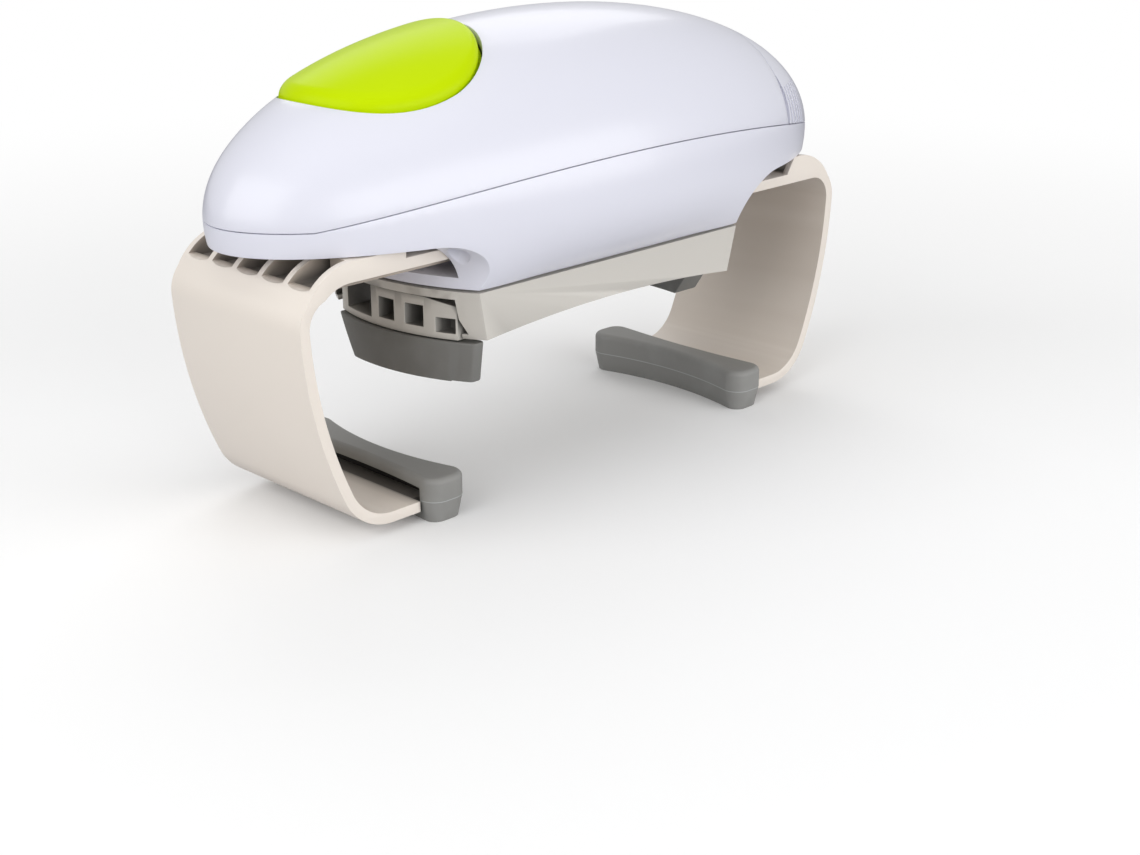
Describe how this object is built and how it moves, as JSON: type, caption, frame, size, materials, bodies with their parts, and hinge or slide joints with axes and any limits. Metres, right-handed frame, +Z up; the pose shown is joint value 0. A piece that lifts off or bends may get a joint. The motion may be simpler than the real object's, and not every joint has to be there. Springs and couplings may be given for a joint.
{
  "type": "electric jar opener",
  "caption": "Egg-shaped battery jar opener: sliding C-arms with rubber pads hold the jar while a motor-driven turntable with gripping jaws twists the lid.",
  "frame": {"origin": "on the table under the middle of the body, 1.2 mm from the turntable's axis", "axes": "+X along the body towards the battery door, -X towards the button, +Z up, parallel to the turning axis"},
  "size_m": [0.209, 0.084, 0.1196],
  "materials": {
    "white_shell": "glossy white with a faint lavender tint",
    "lime_button": "glossy lime green",
    "arm_grey": "satin warm light grey",
    "carriage_grey": "satin grey beige",
    "grip_rubber": "soft dark grey rubber",
    "gear_plastic": "natural acetal",
    "frame_plastic": "plain light grey moulding",
    "steel": "plain steel",
    "brass_pinion": "turned brass",
    "black_plastic": "black moulding",
    "switch_cap": "red switch cap",
    "board_green": "green laminate",
    "cell_jacket": "dark plain jacket",
    "lead_jacket": "red insulated wire"
  },
  "bodies": {
    "body": {"top_shell": "white_shell", "bottom_shell": "white_shell", "shell_screws": "steel", "gear_deck": "frame_plastic", "upper_deck": "frame_plastic", "gear_screws": "steel", "gear_axles": "steel", "motor_can": "steel", "motor_cap": "black_plastic", "circuit_board": "board_green", "switch_body": "black_plastic", "button_spring": "steel", "battery_bay": "frame_plastic", "left_cell": "cell_jacket", "right_cell": "cell_jacket", "contact_springs": "steel", "contact_plates": "steel", "power_leads": "lead_jacket"},
    "button": {"push_button": "lime_button", "switch_plunger": "switch_cap"},
    "door": {"battery_door": "white_shell"},
    "front_arm_unit": {"front_arm": "arm_grey", "front_arm_pad": "grip_rubber"},
    "rear_arm_unit": {"rear_arm": "arm_grey", "rear_arm_pad": "grip_rubber"},
    "arm_gear": {"ring_gear": "gear_plastic"},
    "turntable": {"turntable_housing": "carriage_grey", "turntable_cover": "carriage_grey", "turntable_screws": "steel", "retaining_clip": "steel", "thrust_washer": "gear_plastic"},
    "front_jaw_unit": {"front_jaw": "carriage_grey", "front_jaw_pad": "grip_rubber"},
    "rear_jaw_unit": {"rear_jaw": "carriage_grey", "rear_jaw_pad": "grip_rubber"},
    "jaw_drive": {"jaw_pinion": "gear_plastic", "output_shaft": "steel", "planet_carrier": "gear_plastic"},
    "planet_a": {"planet_gear_a": "gear_plastic"},
    "planet_b": {"planet_gear_b": "gear_plastic"},
    "planet_c": {"planet_gear_c": "gear_plastic"},
    "sun": {"sun_gear": "gear_plastic"},
    "reduction": {"reduction_gear": "gear_plastic"},
    "rotor": {"motor_pinion": "brass_pinion", "motor_shaft": "steel"}
  },
  "joints": [
    {"name": "front_arm_slide", "type": "slide", "parent": "body", "child": "front_arm_unit", "axis": [1, 0, 0], "range_m": [-0.006, 0.022]},
    {"name": "rear_arm_slide", "type": "slide", "parent": "body", "child": "rear_arm_unit", "axis": [-1, 0, 0], "range_m": [-0.006, 0.022]},
    {"name": "arm_gear_spin", "type": "hinge", "parent": "body", "child": "arm_gear", "pos_m": [-0.0012, 0, 0.0695], "axis": [0, 0, 1], "range_deg": [-27, 97.5]},
    {"name": "turntable_spin", "type": "hinge", "parent": "body", "child": "turntable", "pos_m": [-0.0012, 0, 0.0573], "axis": [0, 0, 1], "continuous": true},
    {"name": "front_jaw_slide", "type": "slide", "parent": "turntable", "child": "front_jaw_unit", "axis": [1, 0, 0], "range_m": [-0.003, 0.027]},
    {"name": "rear_jaw_slide", "type": "slide", "parent": "turntable", "child": "rear_jaw_unit", "axis": [-1, 0, 0], "range_m": [-0.003, 0.027]},
    {"name": "jaw_drive_spin", "type": "hinge", "parent": "turntable", "child": "jaw_drive", "pos_m": [-0.0012, 0, 0.0525], "axis": [0, 0, 1], "range_deg": [-29, 259]},
    {"name": "planet_a_spin", "type": "hinge", "parent": "jaw_drive", "child": "planet_a", "pos_m": [0.0096, 0, 0.0788], "axis": [0, 0, 1], "continuous": true},
    {"name": "planet_b_spin", "type": "hinge", "parent": "jaw_drive", "child": "planet_b", "pos_m": [-0.0066, 0.00935, 0.0788], "axis": [0, 0, 1], "continuous": true},
    {"name": "planet_c_spin", "type": "hinge", "parent": "jaw_drive", "child": "planet_c", "pos_m": [-0.0066, -0.00935, 0.0788], "axis": [0, 0, 1], "continuous": true},
    {"name": "sun_spin", "type": "hinge", "parent": "body", "child": "sun", "pos_m": [-0.0012, 0, 0.0858], "axis": [0, 0, 1], "continuous": true},
    {"name": "reduction_spin", "type": "hinge", "parent": "body", "child": "reduction", "pos_m": [-0.018, 0, 0.092], "axis": [0, 0, 1], "continuous": true},
    {"name": "rotor_spin", "type": "hinge", "parent": "body", "child": "rotor", "pos_m": [-0.0339, 0, 0.1], "axis": [0, 0, 1], "continuous": true},
    {"name": "button_press", "type": "slide", "parent": "body", "child": "button", "axis": [0, 0, -1], "range_m": [0, 0.0012], "stiffness_N_per_m": 800, "deforming": ["button_spring"]},
    {"name": "battery_door_slide", "type": "slide", "parent": "body", "child": "door", "axis": [1, 0, 0], "range_m": [0, 0.03]}
  ],
  "couplings": [
    {"joint": "rear_arm_slide", "follows": "front_arm_slide", "ratio": 1},
    {"joint": "arm_gear_spin", "follows": "front_arm_slide", "rad_per_m": 76.923},
    {"joint": "rear_jaw_slide", "follows": "front_jaw_slide", "ratio": 1},
    {"joint": "jaw_drive_spin", "follows": "front_jaw_slide", "rad_per_m": 166.67},
    {"joint": "sun_spin", "follows": "turntable_spin", "ratio": 4.5},
    {"joint": "reduction_spin", "follows": "turntable_spin", "ratio": -20.7},
    {"joint": "rotor_spin", "follows": "turntable_spin", "ratio": 101.2},
    {"joint": "planet_a_spin", "follows": "turntable_spin", "ratio": -2.8},
    {"joint": "planet_b_spin", "follows": "turntable_spin", "ratio": -2.8},
    {"joint": "planet_c_spin", "follows": "turntable_spin", "ratio": -2.8}
  ]
}
